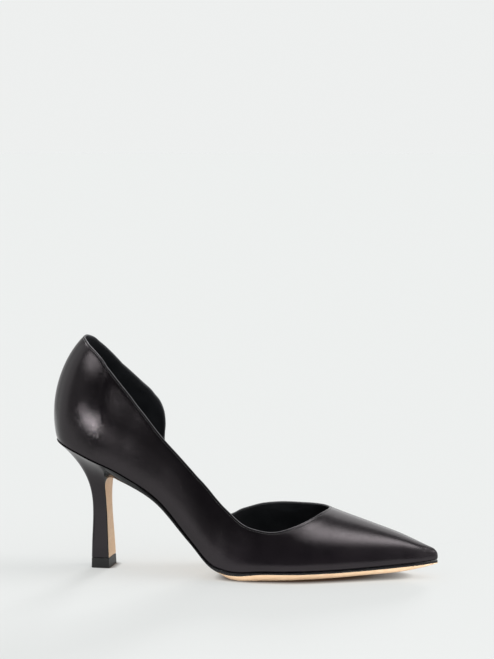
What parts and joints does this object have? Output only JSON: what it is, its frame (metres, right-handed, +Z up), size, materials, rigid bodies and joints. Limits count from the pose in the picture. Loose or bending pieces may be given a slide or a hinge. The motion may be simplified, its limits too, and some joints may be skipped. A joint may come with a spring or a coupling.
{
  "type": "pump shoe",
  "caption": "Pointed black leather pump with a slim high heel, a slanting top edge that is cut away at the waist on the inner side, and a tan leather sole that folds down the front of the heel",
  "frame": {"origin": "middle of the shoe's footprint, on the floor that it stands on", "axes": "+X from the heel to the toe, +Y to the wearer's left, which is the inner side of this right shoe, +Z up"},
  "size_m": [0.2398, 0.074, 0.1451],
  "materials": {
    "black_leather": "smooth semi-gloss black leather",
    "black_lining": "soft black lining leather",
    "tan_leather": "pale tan sole leather with a black painted edge",
    "heel_leather": "smooth black leather wrapped round the heel",
    "black_rubber": "matt black rubber"
  },
  "bodies": {
    "root": {"upper": "black_leather", "insole": "black_lining", "outsole": "tan_leather", "heel": "heel_leather", "top_piece": "black_rubber"}
  },
  "joints": []
}
